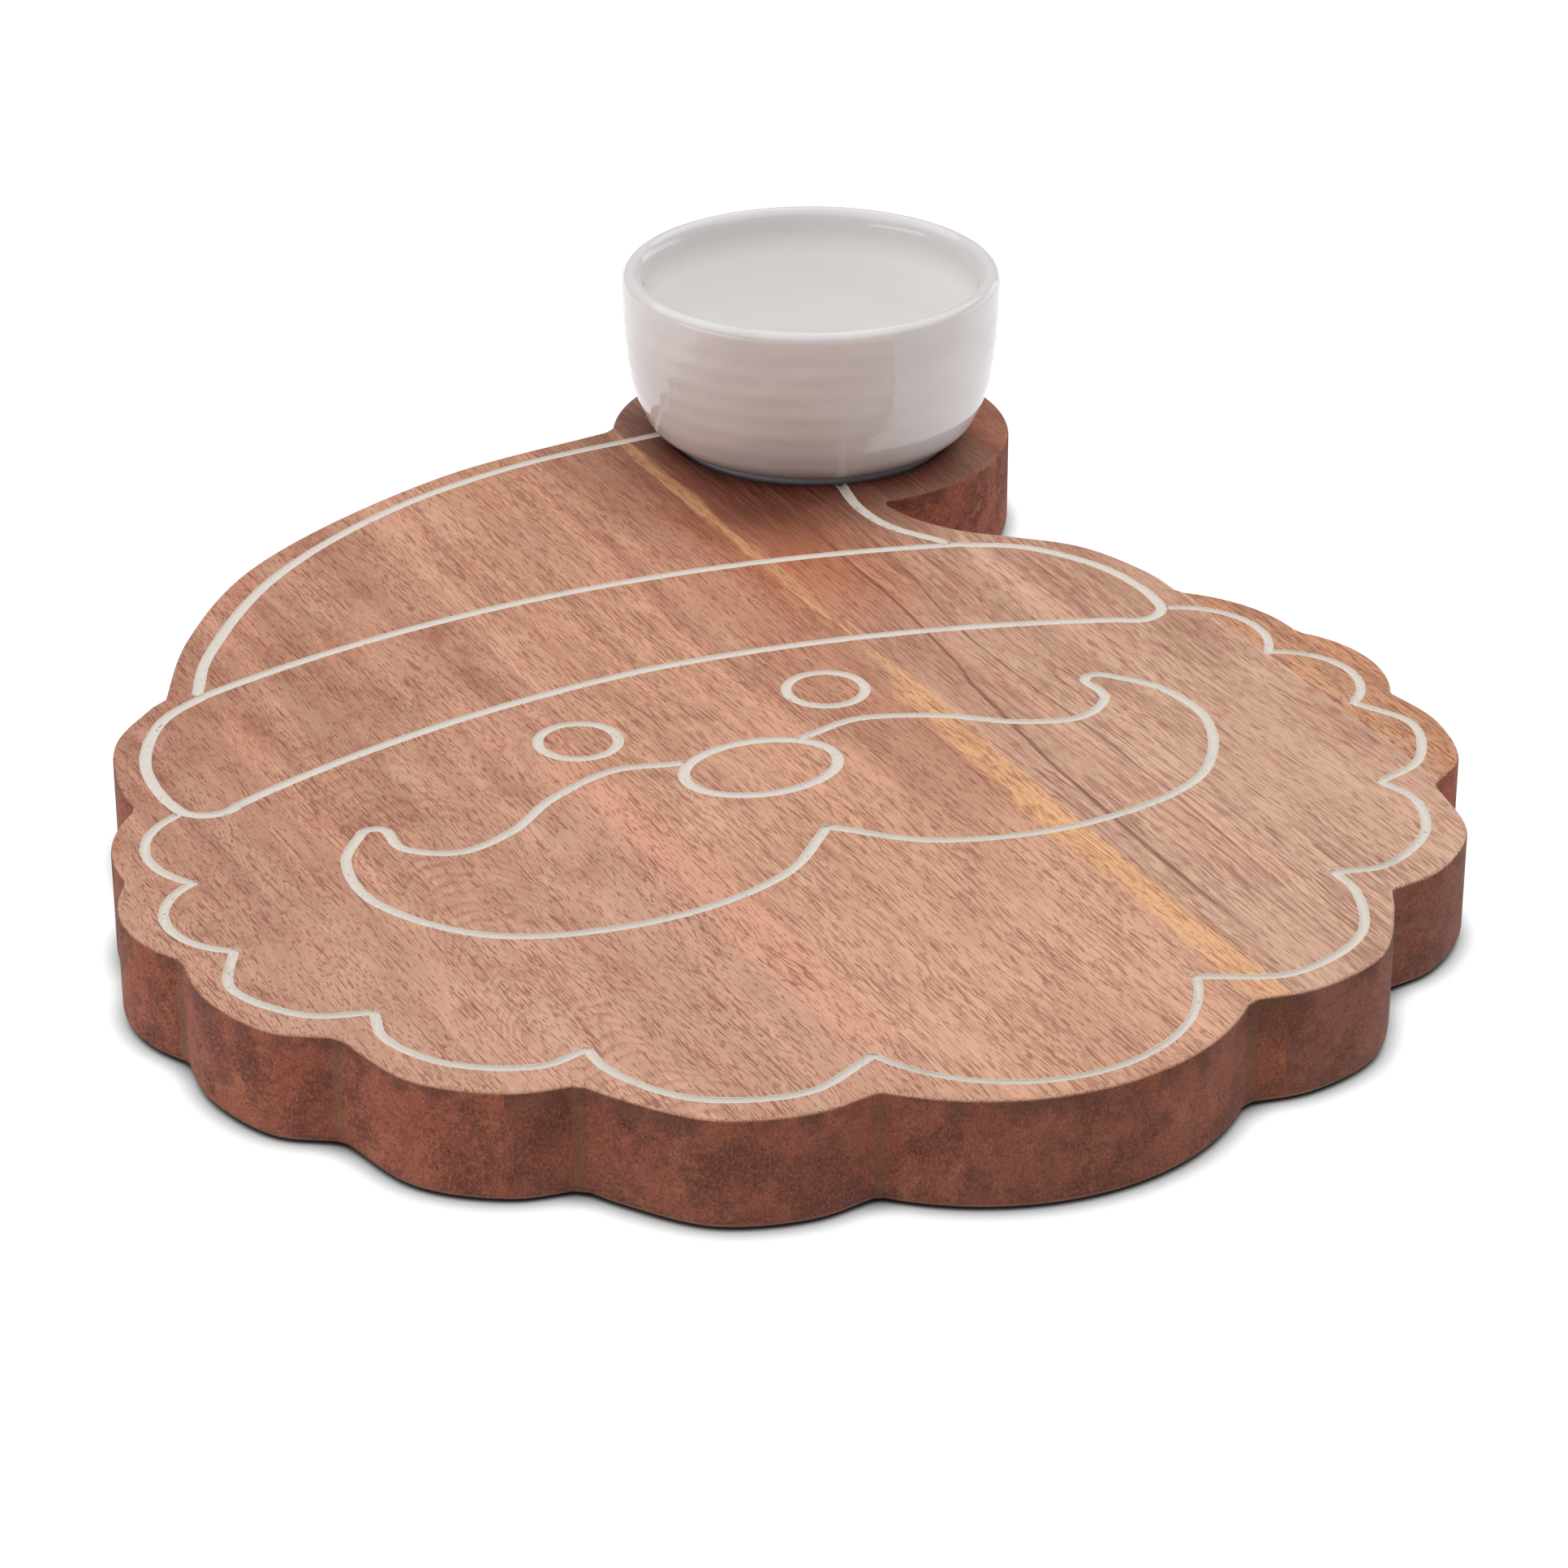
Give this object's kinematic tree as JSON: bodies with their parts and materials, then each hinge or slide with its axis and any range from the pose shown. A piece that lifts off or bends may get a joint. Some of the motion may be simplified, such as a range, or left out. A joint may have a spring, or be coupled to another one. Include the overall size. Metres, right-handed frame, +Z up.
{
  "type": "chip and dip server",
  "caption": "Wooden serving board cut as a bearded face in a bobble hat, with pale infilled grooves and a white glazed dip bowl that lifts off.",
  "frame": {"origin": "on the table, under the middle of the whole board's outline", "axes": "+X to the right across the face, +Y from the chin to the top of the hat, +Z up from the table"},
  "size_m": [0.302, 0.3789, 0.0689],
  "materials": {
    "board_wood": "oiled satin, straight grain along the board's length",
    "groove_fill": "matt off-white paint-like infill",
    "bowl_glaze": "glossy white glaze"
  },
  "bodies": {
    "board": {"left_edge_stave": "board_wood", "left_stave": "board_wood", "middle_stave": "board_wood", "right_stave": "board_wood", "right_edge_stave": "board_wood", "bobble_edge_stave": "board_wood", "hat_left_line": "groove_fill", "hat_right_line": "groove_fill", "hat_band_line": "groove_fill", "beard_line": "groove_fill", "moustache_line": "groove_fill", "nose_ring": "groove_fill", "left_eye_ring": "groove_fill", "right_eye_ring": "groove_fill"},
    "bowl": {"dip_bowl": "bowl_glaze"}
  },
  "joints": [
    {"name": "bowl_lift", "type": "slide", "parent": "board", "child": "bowl", "axis": [0, 0, 1], "range_m": [0, 0.1]}
  ]
}
